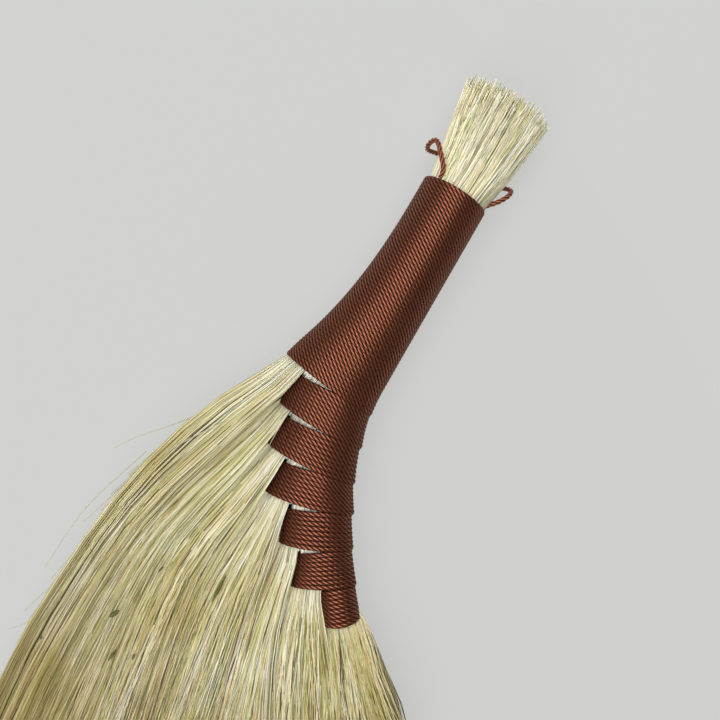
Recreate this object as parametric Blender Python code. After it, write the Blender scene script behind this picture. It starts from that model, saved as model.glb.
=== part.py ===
"""Hand-bound dust brush, a hawk-tail whisk: seven fibre bundles lashed by one wound cord.

The brush lies on its back, wide face up. +Y runs along the grip to the cut butt ends, -Y down the
fan, and +Z up from the table. The spine is the brush's long outer edge, at +X, where every bundle's
binding lies. Each band of the binding drops one bundle on the other side, where its fibres fan out.
"""

import math
import random

import bmesh
import bpy
from mathutils import Vector

# The bound length, in metres
GRIP_TOP_WIDTH = 0.0212
GRIP_TOP_THICKNESS = 0.0204
GRIP_ROOT_WIDTH = 0.0316
GRIP_ROOT_THICKNESS = 0.0196
BINDING_RUN = 0.1242
SWEEP_RUN = 0.0612
SPINE_SWEEP = 0.0286

# How the spine sweeps out and how the grip flares towards the first exit
SWEEP_POWER = 1.89
FLARE_POWER = 2.6

# Bands from the grip down: where each starts and ends along the binding, and the tilt of its turns
BUNDLES = 7
BAND_RUN_SHARES = (
    (0.0, 0.5645),
    (0.5680, 0.6530),
    (0.6565, 0.7335),
    (0.7370, 0.8070),
    (0.8105, 0.8775),
    (0.8810, 0.9455),
    (0.9490, 1.0),
)
BAND_TILTS = ((-2.2, -7.2), (-3.1, -3.4), (1.8, 3.0), (7.0, 8.9), (16.0, 19.7), (24.3, 25.0), (32.1, 33.8))
BAND_WIDTH_SHARES = (
    (None, 1.0),
    (0.807, 0.903),
    (0.788, 0.918),
    (0.727, 0.880),
    (0.642, 0.721),
    (0.524, 0.636),
    (0.351, 0.381),
)
BAND_THICKNESS_SHARES = (1.0, 0.96, 0.91, 0.85, 0.775, 0.685, 0.55)

# The cord and the layer of turns under it
CORD_DIAMETER = 0.0013
LAYER_WALL = 0.0007
PIECE_GAP = 0.0003
FLOOR_CLEARANCE = 0.0009
WINDING_TURNS = (7, 2, 2, 1, 1, 1, 1)
TURN_POINTS = 24
TURN_INSET_SHARE = 0.09

# Fibre slices, and the strands that grow from them
SLICE_THICKNESS = 0.0020
FAN_INSET = 0.0010
FLANK_GAP = 0.0005
LAYERS = 3
FAN_CELLS = (5, 3, 5, 6, 7, 8, 6)
BUTT_CELLS = (4, 5, 5, 5, 5, 5, 4)
STRAND_SHARE = 0.74
BUTT_END_SHARE = 0.52
TRIM_SHARE = 0.07
FLAT_CUT = 0.0005
FAN_GAP = 0.0004

# The fan: an arc of tips round a centre that is set from the spine's end
FAN_RADIUS = 0.115
FAN_CENTRE_INSET = 0.0346
FAN_CENTRE_DROP = 0.0058
TIP_ANGLES = (-24.0, -15.0, -6.0, 3.0, 13.5, 26.0, 42.0, 59.5)
SHOULDER_SHARES = ((-0.342, 0.292), (-0.225, 0.292))
WAIST_SHARES = (
    (-0.437, -0.015),
    (-0.313, -0.035),
    (-0.222, -0.052),
    (-0.113, -0.070),
    (0.035, -0.087),
    (0.148, -0.157),
    (0.296, -0.130),
    (0.424, -0.068),
)
HEM_SHARES = (
    (-0.459, -0.435),
    (-0.317, -0.496),
    (-0.178, -0.530),
    (-0.039, -0.539),
    (0.126, -0.530),
    (0.300, -0.522),
    (0.487, -0.439),
    (0.626, -0.263),
)
FRINGE_SHARE = 0.6
SHOULDER_TOP_SHARE = 1.02
WAIST_TOP_SHARE = 1.0
HEM_TOP_SHARE = 0.80
TIP_TOP_SHARE = 0.56
SHOULDER_DROP_SHARE = 0.55

# The splayed butt ends
TUFT_LENGTH = 0.0325
TUFT_TIP_WIDTH = 0.0292
TUFT_TIP_THICKNESS = 0.0226
TUFT_MIDDLE_SHARE = 0.42

# The hanging loop, from the rim's front round behind the tuft to the spine side
LOOP_ROUTE = (
    (-0.0170, 0.0009, 0.0174),
    (-0.0170, 0.0024, 0.0179),
    (-0.0178, 0.0041, 0.0184),
    (-0.0193, 0.0058, 0.0186),
    (-0.0209, 0.0076, 0.0183),
    (-0.0223, 0.0093, 0.0175),
    (-0.0236, 0.0103, 0.0160),
    (-0.0246, 0.0099, 0.0140),
    (-0.0251, 0.0088, 0.0118),
    (-0.0247, 0.0085, 0.0092),
    (-0.0235, 0.0093, 0.0066),
    (-0.0219, 0.0104, 0.0042),
    (-0.0197, 0.0111, 0.0022),
    (-0.0167, 0.0113, 0.0011),
    (-0.0115, 0.0112, 0.0008),
    (-0.0060, 0.0110, 0.0008),
    (-0.0024, 0.0111, 0.0011),
    (0.0000, 0.0113, 0.0023),
    (0.0017, 0.0115, 0.0041),
    (0.0030, 0.0113, 0.0062),
    (0.0037, 0.0104, 0.0084),
    (0.0036, 0.0088, 0.0101),
    (0.0027, 0.0066, 0.0110),
    (0.0013, 0.0045, 0.0113),
    (-0.0001, 0.0030, 0.0112),
    (-0.0011, 0.0018, 0.0111),
    (-0.0015, 0.0004, 0.0111),
)
LOOP_POINTS = 40

# Facets
LAYER_SIDES = 28
SLAB_STEPS = 3
SIDE_SHARE = 0.985
GRIP_STATION_SHARES = (0.0, 0.35, 0.6, 0.8, 0.92, 1.0)
STRAND_SEED = 5

# Worked out from the sizes above
CORD_RADIUS = CORD_DIAMETER / 2
LAYER_INSET = CORD_DIAMETER + PIECE_GAP
BORE_INSET = LAYER_INSET + LAYER_WALL
CORE_INSET = BORE_INSET + PIECE_GAP
NECK = CORD_DIAMETER + PIECE_GAP + PIECE_GAP
MID_HEIGHT = GRIP_TOP_THICKNESS / 2 + FLOOR_CLEARANCE
FAN_CENTRE = Vector((SPINE_SWEEP - FAN_CENTRE_INSET, -BINDING_RUN - FAN_CENTRE_DROP, 0))
UP = Vector((0, 0, 1))

FIBRE = (0.78, 0.73, 0.55)
BOUND_FIBRE = (0.83, 0.81, 0.73)
CORD = (0.23, 0.095, 0.055)
CORD_SHADE = (0.16, 0.062, 0.038)


def mix(start, end, share):
    return start + (end - start) * share


def clear_scene():
    for item in list(bpy.data.objects):
        bpy.data.objects.remove(item, do_unlink=True)


def make_collection(name):
    collection = bpy.data.collections.new(name)
    bpy.context.scene.collection.children.link(collection)
    return collection


def finish(item, collection, colour, roughness):
    """Put an object in the brush's collection with its own material."""
    material = bpy.data.materials.new(item.name)
    material.use_nodes = True
    shader = material.node_tree.nodes["Principled BSDF"]
    shader.inputs["Base Color"].default_value = (*colour, 1)
    shader.inputs["Roughness"].default_value = roughness
    item.data.materials.append(material)
    collection.objects.link(item)
    return item


def object_from(mesh_builder, name):
    """Turn a filled bmesh into an object, its faces pointing out."""
    bmesh.ops.recalc_face_normals(mesh_builder, faces=mesh_builder.faces)
    mesh = bpy.data.meshes.new(name)
    mesh_builder.to_mesh(mesh)
    mesh_builder.free()
    return bpy.data.objects.new(name, mesh)


class Section:
    """An oval cut through the binding: an upright plane across all the bundles that it holds."""

    def __init__(self, spine, tilt, width, thickness):
        self.across = Vector((math.cos(tilt), math.sin(tilt), 0))
        self.down = Vector((math.sin(tilt), -math.cos(tilt), 0))
        self.half_width = width / 2
        self.half_thickness = thickness / 2
        self.centre = spine - self.across * self.half_width + UP * MID_HEIGHT

    def at(self, across_share, up_share, inset, drop=0):
        """Point at these shares of the oval's half axes, each made smaller by inset."""
        sideways = self.across * (self.half_width - inset) * across_share
        upwards = UP * (self.half_thickness - inset) * up_share
        return self.centre + sideways + upwards + self.down * drop

    def share_of(self, point, inset):
        """How far across the oval a point lies, from -1 at the open side to 1 at the spine."""
        return (point - self.centre).dot(self.across) / (self.half_width - inset)


def spine_point(run):
    swept = max(run - (BINDING_RUN - SWEEP_RUN), 0) / SWEEP_RUN
    return Vector((SPINE_SWEEP * swept ** SWEEP_POWER, -run, 0))


def section(band, share, beyond=0):
    """The binding's section at a share of a band, or a length beyond that place."""
    start, end = BAND_RUN_SHARES[band]
    tilt = math.radians(mix(*BAND_TILTS[band], share))
    if band == 0:
        width = mix(GRIP_TOP_WIDTH, GRIP_ROOT_WIDTH, share ** FLARE_POWER)
        thickness = mix(GRIP_TOP_THICKNESS, GRIP_ROOT_THICKNESS, share)
    else:
        width = GRIP_ROOT_WIDTH * mix(*BAND_WIDTH_SHARES[band], share)
        next_band = min(band + 1, BUNDLES - 1)
        thickness_share = mix(BAND_THICKNESS_SHARES[band], BAND_THICKNESS_SHARES[next_band], share)
        thickness = GRIP_ROOT_THICKNESS * thickness_share
    run = BINDING_RUN * mix(start, end, share) + beyond
    return Section(spine_point(run), tilt, width, thickness)


def exit_share(band):
    """Where the next band's bundles start, as a share across this band's lower end."""
    corner = section(band + 1, 0).at(-1, 0, CORE_INSET)
    return section(band, 1).share_of(corner, CORE_INSET)


def slab_edges(band, share, bundle):
    """The two sides of a bundle in a band: its open side takes the exit's width by the lower end."""
    held = BUNDLES - band
    if held == 1:
        return -1, 1
    even = 2 / held - 1
    division = mix(even, exit_share(band), share)
    if bundle == band:
        return -1, division
    each = (1 - division) / (held - 1)
    left = division + each * (bundle - band - 1)
    return left, left + each


def slab_ring(cut, left, right, inset, drop=0):
    """Outline of a bundle in a section: an upright slice of the oval, with half the gap on each side."""
    half_gap = PIECE_GAP / 2 / (cut.half_width - inset)
    left = max(left + half_gap, -SIDE_SHARE)
    right = min(right - half_gap, SIDE_SHARE)
    angles = [mix(math.acos(left), math.acos(right), step / SLAB_STEPS) for step in range(SLAB_STEPS + 1)]
    top = [cut.at(math.cos(angle), math.sin(angle), inset, drop) for angle in angles]
    bottom = [cut.at(math.cos(angle), -math.sin(angle), inset, drop) for angle in reversed(angles)]
    return top + bottom


def loft(rings, closed):
    """Skin a run of rings: a closed run is a ring-shaped body, an open one gets a cap at each end."""
    skin = bmesh.new()
    rows = [[skin.verts.new(point) for point in ring] for ring in rings]
    pairs = list(zip(rows, rows[1:]))
    if closed:
        pairs.append((rows[-1], rows[0]))
    else:
        skin.faces.new(rows[0])
        skin.faces.new(rows[-1])
    for upper, lower in pairs:
        count = len(upper)
        for index in range(count):
            after = (index + 1) % count
            skin.faces.new((upper[index], upper[after], lower[after], lower[index]))
    return skin


def band_stations(band):
    return GRIP_STATION_SHARES if band == 0 else (0.0, 1.0)


def make_band(collection, band):
    """The turns of one band as a sleeve: a plain layer that the drawn winding runs over."""
    angles = [2 * math.pi * side / LAYER_SIDES for side in range(LAYER_SIDES)]
    cuts = [section(band, share) for share in band_stations(band)]
    outside = [[cut.at(math.cos(a), math.sin(a), LAYER_INSET) for a in angles] for cut in cuts]
    bore = [[cut.at(math.cos(a), math.sin(a), BORE_INSET) for a in angles] for cut in reversed(cuts)]
    sleeve = object_from(loft(outside + bore, closed=True), f"binding_band_{band + 1}")
    sleeve.data.shade_smooth()
    sleeve.data.set_sharp_from_angle(angle=math.radians(40))
    return finish(sleeve, collection, CORD_SHADE, 0.75)


def make_core(collection, bundle):
    """A bundle's bound length, from the neck above the rim to the band that lets it go."""
    rings = [slab_ring(section(0, 0), *slab_edges(0, 0, bundle), CORE_INSET, -NECK)]
    for band in range(bundle + 1):
        for share in band_stations(band):
            rings.append(slab_ring(section(band, share), *slab_edges(band, share, bundle), CORE_INSET))
    if bundle == BUNDLES - 1:
        rings.append(slab_ring(section(bundle, 1), -1, 1, CORE_INSET, NECK))
    core = object_from(loft(rings, closed=False), f"bundle_core_{bundle + 1}")
    core.data.shade_smooth()
    core.data.set_sharp_from_angle(angle=math.radians(40))
    return finish(core, collection, BOUND_FIBRE, 0.6)


class Slice:
    """The backing that strands grow from: a slab of bound fibre with a gridded face.

    Each grid point keeps its place as two shares, across and up, which the strands follow.
    """

    def __init__(self, cut, left, right, inset, back_drop, front_drop):
        self.cut = cut
        self.left = max(left, -SIDE_SHARE)
        self.right = min(right, SIDE_SHARE)
        self.inset = inset
        self.back_drop = back_drop
        self.front_drop = front_drop

    def place(self, across, up, drop):
        """Point for an across share of 0 to 1 and an up share of -1 to 1, in a cut of the slab."""
        angle = mix(math.acos(self.left), math.acos(self.right), across)
        return self.cut.at(math.cos(angle), math.sin(angle) * up, self.inset, drop)

    def build(self, columns, rows):
        """The slab, with the faces that strands grow from split in two triangles each."""
        body = bmesh.new()
        across_layer = body.verts.layers.float.new("across")
        up_layer = body.verts.layers.float.new("up")
        stage_layer = body.verts.layers.int.new("stage")
        grid = bmesh.ops.create_grid(body, x_segments=columns, y_segments=rows, size=1)["verts"]
        for point in grid:
            point[across_layer] = (point.co.x + 1) / 2
            point[up_layer] = point.co.y
            point.co = self.place(point[across_layer], point[up_layer], self.front_drop)
        cells = list(body.faces)
        rim = [edge for edge in body.edges if edge.is_boundary]
        skirt = bmesh.ops.extrude_edge_only(body, edges=rim)["geom"]
        for point in [part for part in skirt if isinstance(part, bmesh.types.BMVert)]:
            point.co = self.place(point[across_layer], point[up_layer], self.back_drop)
        open_rim = [edge for edge in body.edges if edge.is_boundary]
        bmesh.ops.contextual_create(body, geom=open_rim)
        roots = bmesh.ops.triangulate(body, faces=cells)["faces"]
        return body, roots, across_layer, up_layer, stage_layer


def root_shares(face, across_layer, up_layer):
    corners = [(corner, corner[across_layer], corner[up_layer]) for corner in face.verts]
    middle_across = sum(entry[1] for entry in corners) / len(corners)
    middle_up = sum(entry[2] for entry in corners) / len(corners)
    return corners, middle_across, middle_up


def split_sides(body, across_layer, up_layer, stage_layer):
    """Split each strand's sides by the roots' places, so that two neighbours split alike and stay apart."""
    for face in list(body.faces):
        stages = {corner[stage_layer] for corner in face.verts}
        if len(stages) != 2 or len(face.verts) != 4:
            continue
        ranked = sorted(face.verts, key=lambda corner: (corner[across_layer], corner[up_layer]))
        start = [corner for corner in ranked if corner[stage_layer] == min(stages)][-1]
        end = [corner for corner in ranked if corner[stage_layer] == max(stages)][0]
        bmesh.utils.face_split(face, start, end)


def grow_strands(backing, stations, tip):
    """Draw each root face out through the stations, each a place function and a share of the root's size.

    A tip function ends each strand in a point, and with none it ends cut off.
    """
    body, roots, across_layer, up_layer, stage_layer = backing
    ends = roots
    for stage, (place, share) in enumerate(stations):
        ends = bmesh.ops.extrude_discrete_faces(body, faces=ends)["faces"]
        for face in ends:
            corners, middle_across, middle_up = root_shares(face, across_layer, up_layer)
            for corner, across, up in corners:
                corner[stage_layer] = stage + 1
                corner.co = place(mix(middle_across, across, share), mix(middle_up, up, share))
    split_sides(body, across_layer, up_layer, stage_layer)
    if tip is not None:
        chance = random.Random(STRAND_SEED)
        for face in ends:
            corners, middle_across, middle_up = root_shares(face, across_layer, up_layer)
            point = bmesh.ops.poke(body, faces=[face])["verts"][0]
            point.co = tip(middle_across, middle_up, 1 - TRIM_SHARE * chance.random())
    return body


def fan_point(shares):
    return FAN_CENTRE + Vector((shares[0], shares[1], 0)) * FAN_RADIUS


def tip_point(boundary):
    angle = math.radians(TIP_ANGLES[boundary])
    return fan_point((math.sin(angle), -math.cos(angle)))


def floor_height(height):
    """Fibres pressed on the table lie flat on it."""
    return max(height, 0)


def filled(place_share, strand_share, cells):
    """Spread strands out again to the sides that they drew back from as they thinned.

    A thinned strand draws back from its cell's side by a third of what it lost, as its middle lies there.
    """
    drawn_back = (1 - strand_share) / (3 * cells)
    return (place_share - drawn_back) / (1 - 2 * drawn_back)


def fan_height(up, top):
    """Height of a strand's corner in a fan that runs from the table, or a cut below it, to its top."""
    return mix(-FLAT_CUT, top, filled((up + 1) / 2, STRAND_SHARE, LAYERS))


def set_over(across, up, columns):
    """Every other level of strands lies half a strand to the side, so that it covers the gaps below.

    The outer strands of each level stay where they are.
    """
    level = (1 - up) / 2 * LAYERS
    odd_share = 1 - abs(level % 2 - 1)
    bulge = 4 * across * (1 - across)
    return across + odd_share * bulge / (2 * columns)


def fan_station(left, right, top, columns, strand_share=STRAND_SHARE):
    """Place function of a cut across a fan, between its two side points, with a gap to each neighbour."""
    side = (right - left).normalized() * FAN_GAP / 2

    def place(across, up):
        spread = filled(across, strand_share, columns)
        point = (left + side).lerp(right - side, set_over(spread, up, columns))
        point.z = floor_height(fan_height(up, top))
        return point

    return place


def shoulder_station(left, right, root, top, columns, strand_share):
    """Place function where a long fan is still coming down from its binding to the table."""
    flat = fan_station(left, right, top, columns, strand_share)

    def place(across, up):
        point = flat(across, up)
        held = root.place(across, up, root.front_drop).z
        point.z = mix(held, point.z, SHOULDER_DROP_SHARE)
        return point

    return place


def fan_root(bundle):
    """The slice of a bundle just below the band that lets it go, left of the next band."""
    cut = section(bundle, 1)
    back = PIECE_GAP
    right = SIDE_SHARE
    if bundle == BUNDLES - 1:
        back = NECK + PIECE_GAP
    else:
        corner = section(bundle + 1, 0).at(-1, 0, 0) - cut.across * FLANK_GAP
        right = cut.share_of(corner, FAN_INSET)
    return Slice(cut, -SIDE_SHARE, right, FAN_INSET, back, back + SLICE_THICKNESS)


def make_fan(collection, bundle):
    """A bundle's free fibres: strands in layers that spread to the arc of tips and lie on the table."""
    columns = FAN_CELLS[bundle]
    root = fan_root(bundle)
    crown = MID_HEIGHT + root.cut.half_thickness
    waist = fan_station(
        fan_point(WAIST_SHARES[bundle]), fan_point(WAIST_SHARES[bundle + 1]), crown * WAIST_TOP_SHARE, columns
    )
    hem = fan_station(
        fan_point(HEM_SHARES[bundle]), fan_point(HEM_SHARES[bundle + 1]), crown * HEM_TOP_SHARE, columns
    )
    ends = fan_station(tip_point(bundle), tip_point(bundle + 1), crown * TIP_TOP_SHARE, columns)

    def fringe(across, up):
        return hem(across, up).lerp(ends(across, up), FRINGE_SHARE)

    stations = [(waist, STRAND_SHARE), (hem, STRAND_SHARE), (fringe, STRAND_SHARE)]
    if bundle == 0:
        left, right = [fan_point(shares) for shares in SHOULDER_SHARES]
        share = mix(1, STRAND_SHARE, SHOULDER_DROP_SHARE)
        shoulder = shoulder_station(left, right, root, crown * SHOULDER_TOP_SHARE, columns, share)
        stations.insert(0, (shoulder, share))

    def tip(across, up, length_share):
        return hem(across, up).lerp(ends(across, up), length_share)

    strands = grow_strands(root.build(columns, LAYERS), stations, tip)
    fan = object_from(strands, f"fan_bristles_{bundle + 1}")
    return finish(fan, collection, FIBRE, 0.65)


def butt_station(root, rows, length, strand_share):
    """Place function of a cut across the tuft, a length above its slices: it splays as it rises."""
    grip = section(0, 0)
    share = length / TUFT_LENGTH
    wide = mix(1, TUFT_TIP_WIDTH / 2 / (grip.half_width - CORE_INSET), share)
    thick = mix(1, TUFT_TIP_THICKNESS / 2 / (grip.half_thickness - CORE_INSET), share)

    def place(across, up):
        up_share = filled((up + 1) / 2, strand_share, rows)
        start = root.place(filled(across, strand_share, 1), mix(-1, 1, up_share), root.front_drop)
        sideways = (start - grip.centre).dot(grip.across)
        point = start + grip.across * sideways * (wide - 1) - grip.down * length
        point.z = floor_height(MID_HEIGHT + (start.z - MID_HEIGHT) * thick)
        return point

    return place


def make_butts(collection, bundle):
    """A bundle's cut butt ends, splayed above the grip's rim, with the lowest pressed flat."""
    left, right = slab_edges(0, 0, bundle)
    cut = section(0, 0)
    half_gap = PIECE_GAP / 2 / (cut.half_width - CORE_INSET)
    back = -NECK - PIECE_GAP
    root = Slice(cut, left + half_gap, right - half_gap, CORE_INSET, back, back - SLICE_THICKNESS)
    chance = random.Random(STRAND_SEED + bundle)
    reach = TUFT_LENGTH - NECK - PIECE_GAP - SLICE_THICKNESS
    length = reach * (1 - TRIM_SHARE * chance.random())
    rows = BUTT_CELLS[bundle]
    stations = [
        (butt_station(root, rows, length * TUFT_MIDDLE_SHARE, STRAND_SHARE), STRAND_SHARE),
        (butt_station(root, rows, length, BUTT_END_SHARE), BUTT_END_SHARE),
    ]
    strands = grow_strands(root.build(1, rows), stations, None)
    tuft = object_from(strands, f"butt_tuft_{bundle + 1}")
    return finish(tuft, collection, BOUND_FIBRE, 0.65)


def winding_points():
    """The winding's centre line: it starts tucked in above the rim at the back, winds each band in
    turn, passes to the next on the spine, and is tucked in below the last band."""
    route = []
    above = -CORD_RADIUS - PIECE_GAP
    first = section(0, 0, above)
    quarter = TURN_POINTS // 4
    for depth in (CORE_INSET - PIECE_GAP, CORD_RADIUS + CORD_RADIUS, CORD_RADIUS):
        route.append(first.at(0, -1, depth))
    for step in range(1, quarter):
        angle = math.tau * (step - quarter) / TURN_POINTS
        lead = mix(above, 0, step / quarter)
        cut = section(0, TURN_INSET_SHARE * step / quarter / WINDING_TURNS[0], lead)
        route.append(cut.at(math.cos(angle), math.sin(angle), CORD_RADIUS))
    for band, turns in enumerate(WINDING_TURNS):
        start = TURN_INSET_SHARE / turns
        for step in range(turns * TURN_POINTS):
            angle = math.tau * step / TURN_POINTS
            cut = section(band, mix(start, 1 - TURN_INSET_SHARE, step / turns / TURN_POINTS))
            route.append(cut.at(math.cos(angle), math.sin(angle), CORD_RADIUS))
    below = CORD_RADIUS + PIECE_GAP
    last = section(BUNDLES - 1, 1)
    for step in range(TURN_POINTS - quarter):
        angle = math.tau * step / TURN_POINTS
        share = mix(1 - TURN_INSET_SHARE, 1, step / (TURN_POINTS - quarter))
        lead = mix(0, below, step / (TURN_POINTS - quarter))
        cut = section(BUNDLES - 1, share)
        route.append(cut.at(math.cos(angle), math.sin(angle), CORD_RADIUS, lead))
    for depth in (CORD_RADIUS, CORD_RADIUS + CORD_RADIUS, CORE_INSET - PIECE_GAP):
        route.append(last.at(0, -1, depth, below))
    return route


def cord_object(name, points, bevel_resolution):
    curve = bpy.data.curves.new(name, "CURVE")
    curve.dimensions = "3D"
    curve.bevel_depth = CORD_RADIUS
    curve.bevel_resolution = bevel_resolution
    curve.use_fill_caps = True
    spline = curve.splines.new("POLY")
    spline.points.add(len(points) - 1)
    for target, point in zip(spline.points, points):
        target.co = (*point, 1)
    return bpy.data.objects.new(name, curve)


def least_gap(points):
    """The tube's least gap to itself, between points that lie more than half a turn apart."""
    apart = TURN_POINTS // 2
    nearest = min(
        (points[one] - points[other]).length
        for one in range(len(points))
        for other in range(one + apart, len(points))
    )
    return nearest - CORD_DIAMETER


def make_winding(collection):
    points = winding_points()
    print(f"binding_cord: least gap to itself {least_gap(points):.5f} m")
    return finish(cord_object("binding_cord", points, 1), collection, CORD, 0.6)


def smooth_route(route, count):
    """Points along a smooth curve through the route's own points."""
    knots = [Vector(point) for point in route]
    padded = [knots[0] * 2 - knots[1], *knots, knots[-1] * 2 - knots[-2]]
    points = []
    for index in range(count):
        place = (len(knots) - 1) * index / (count - 1)
        start = min(int(place), len(knots) - 2)
        share = place - start
        before, here, there, after = padded[start:start + 4]
        slope_here = (there - before) / 2
        slope_there = (after - here) / 2
        bend = here * 2 - there * 2 + slope_here + slope_there
        lean = there * 3 - here * 3 - slope_here * 2 - slope_there
        points.append(here + slope_here * share + lean * share ** 2 + bend * share ** 3)
    return points


def make_loop(collection):
    points = smooth_route(LOOP_ROUTE, LOOP_POINTS)
    return finish(cord_object("hanging_loop", points, 2), collection, CORD, 0.6)


def centre_on_origin(pieces):
    """Move the brush so that the middle of its box's base is the origin."""
    bpy.context.view_layer.update()
    corners = [piece.matrix_world @ Vector(corner) for piece in pieces for corner in piece.bound_box]
    middle_x = (min(c.x for c in corners) + max(c.x for c in corners)) / 2
    middle_y = (min(c.y for c in corners) + max(c.y for c in corners)) / 2
    for piece in pieces:
        piece.location -= Vector((middle_x, middle_y, 0))
    print(f"rim's spine corner stands at {-middle_x:.5f}, {-middle_y:.5f} m")


def main():
    clear_scene()
    brush = make_collection("dust_brush")
    pieces = [make_band(brush, band) for band in range(BUNDLES)]
    pieces += [make_core(brush, bundle) for bundle in range(BUNDLES)]
    pieces += [make_fan(brush, bundle) for bundle in range(BUNDLES)]
    pieces += [make_butts(brush, bundle) for bundle in range(BUNDLES)]
    pieces.append(make_winding(brush))
    pieces.append(make_loop(brush))
    centre_on_origin(pieces)


main()
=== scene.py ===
"""Looks of the hand-bound dust brush: fibres, wound cord, hanging loop, floor, light and camera."""

import math
import random
from functools import partial

import bmesh
import bpy
from bpy.props import FloatProperty, FloatVectorProperty, IntProperty, PointerProperty
from mathutils import Matrix, Vector


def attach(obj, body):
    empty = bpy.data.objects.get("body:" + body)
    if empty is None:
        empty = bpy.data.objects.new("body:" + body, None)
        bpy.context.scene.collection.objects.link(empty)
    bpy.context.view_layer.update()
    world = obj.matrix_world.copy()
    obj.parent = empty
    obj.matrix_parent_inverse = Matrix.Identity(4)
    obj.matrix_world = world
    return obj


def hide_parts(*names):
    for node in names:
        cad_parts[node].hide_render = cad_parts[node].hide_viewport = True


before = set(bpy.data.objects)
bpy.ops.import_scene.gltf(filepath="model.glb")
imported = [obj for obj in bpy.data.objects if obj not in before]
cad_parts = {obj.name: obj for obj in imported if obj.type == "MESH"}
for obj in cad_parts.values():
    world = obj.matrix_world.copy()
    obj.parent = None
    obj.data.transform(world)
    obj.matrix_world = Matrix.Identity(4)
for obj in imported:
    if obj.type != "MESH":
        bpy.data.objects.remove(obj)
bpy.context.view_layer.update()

bl_info = {
    "name": "Dust Brush",
    "version": (1, 0, 0),
    "blender": (4, 5, 0),
    "location": "3D View > Sidebar > Dust Brush",
    "description": "Makes a hand-bound whisk with its wound cord, its fibres and its hanging loop",
    "category": "Add Mesh",
}

BODY = "root"
MM = 0.001

# The rim's spine corner, from which the binding is laid out, in the row frame
RIM_CORNER = Vector((-0.01664, 0.10603, 0))

# The binding, as in the solids: its length, the spine's sweep and the grip's flare
GRIP_TOP_WIDTH = 0.0212
GRIP_TOP_THICKNESS = 0.0204
GRIP_ROOT_WIDTH = 0.0316
GRIP_ROOT_THICKNESS = 0.0196
BINDING_RUN = 0.1242
SWEEP_RUN = 0.0612
SPINE_SWEEP = 0.0286
SWEEP_POWER = 1.89
FLARE_POWER = 2.6
MID_HEIGHT = 0.0111
BUNDLES = 7

# Bands: share of the run at which each starts, tilts of its first and last turns in degrees, width shares
BAND_STARTS = (0.0, 0.5663, 0.6548, 0.7353, 0.8088, 0.8793, 0.9473, 1.0)
BAND_TILTS = ((-2.2, -7.2), (-3.1, -3.4), (1.8, 3.0), (7.0, 8.9), (16.0, 19.7), (24.3, 25.0), (32.1, 33.8))
BAND_WIDTH_SHARES = (
    (None, 1.0),
    (0.807, 0.903),
    (0.788, 0.918),
    (0.727, 0.880),
    (0.642, 0.721),
    (0.524, 0.636),
    (0.351, 0.381),
)
BAND_THICKNESS_SHARES = (1.0, 0.96, 0.91, 0.85, 0.775, 0.685, 0.55)
BAND_TURNS = (57, 9, 8, 8, 8, 8, 8)

# How far the last turn of each band lies below its end section, in millimetres: at the spine, and how that
# changes in proportion to the way across to the open side and to its square
LAST_TURN_DROPS = (
    (-0.55, 1.63, -1.48),
    (-1.46, 3.31, -1.91),
    (-1.28, 2.09, -1.56),
    (-2.43, 4.09, -1.69),
    (-2.27, 2.17, -0.86),
    (-2.02, 2.01, -0.52),
    (-0.6, 3.0, -2.2),
)
FIRST_TURN_DROP = 0.35

# Slits between the bands: share of the way across up to which the bands touch, and width at the open side
SLITS = ((0.44, 2.7), (0.32, 2.4), (0.47, 2.4), (0.38, 2.65), (0.39, 2.2), (0.5, 1.1))
SLIT_POWER = 1.2

# The cord's plies, steps in a turn, and how far the plies slip from turn to turn, as shares of their spacing
PLIES = 4
TURN_STEPS = 72
NESTING_SLIP = (0.0, 0.08)
NESTING_SEED = 5

# Part of a turn, counted from its top, over which its plies are eased into place: its start and its span
NESTING_START = 0.3
NESTING_SPAN = 0.4

# Length of a step along the wound and the free cord, painted light: how much lighter the free cord's colour
# is painted where no other turn shades it, and the attributes that are used up when a cord is made
WINDING_STEP = 0.00075
LOOP_STEP = 0.0003
FREE_CORD_PAINTED_LIGHT = 3.2
CORD_MARKS = ("twist", "centre", "outward")

# The hanging loop's route, from the rim's front round under the tuft to the spine side
LOOP_ROUTE = (
    (-0.0170, 0.0009, 0.0174), (-0.0170, 0.0024, 0.0179), (-0.0178, 0.0041, 0.0184),
    (-0.0193, 0.0058, 0.0186), (-0.0209, 0.0076, 0.0183), (-0.0223, 0.0093, 0.0175),
    (-0.0236, 0.0103, 0.0160), (-0.0246, 0.0099, 0.0140), (-0.0251, 0.0088, 0.0118),
    (-0.0247, 0.0085, 0.0092), (-0.0235, 0.0093, 0.0066), (-0.0219, 0.0104, 0.0042),
    (-0.0197, 0.0111, 0.0022), (-0.0167, 0.0113, 0.0011), (-0.0115, 0.0112, 0.0008),
    (-0.0060, 0.0110, 0.0008), (-0.0024, 0.0111, 0.0011), (0.0000, 0.0113, 0.0023),
    (0.0017, 0.0115, 0.0041), (0.0030, 0.0113, 0.0062), (0.0037, 0.0104, 0.0084),
    (0.0036, 0.0088, 0.0101), (0.0027, 0.0066, 0.0110), (0.0013, 0.0045, 0.0113),
    (-0.0001, 0.0030, 0.0112), (-0.0011, 0.0018, 0.0111), (-0.0015, 0.0004, 0.0111),
)
LOOP_POINTS = 40

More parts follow.
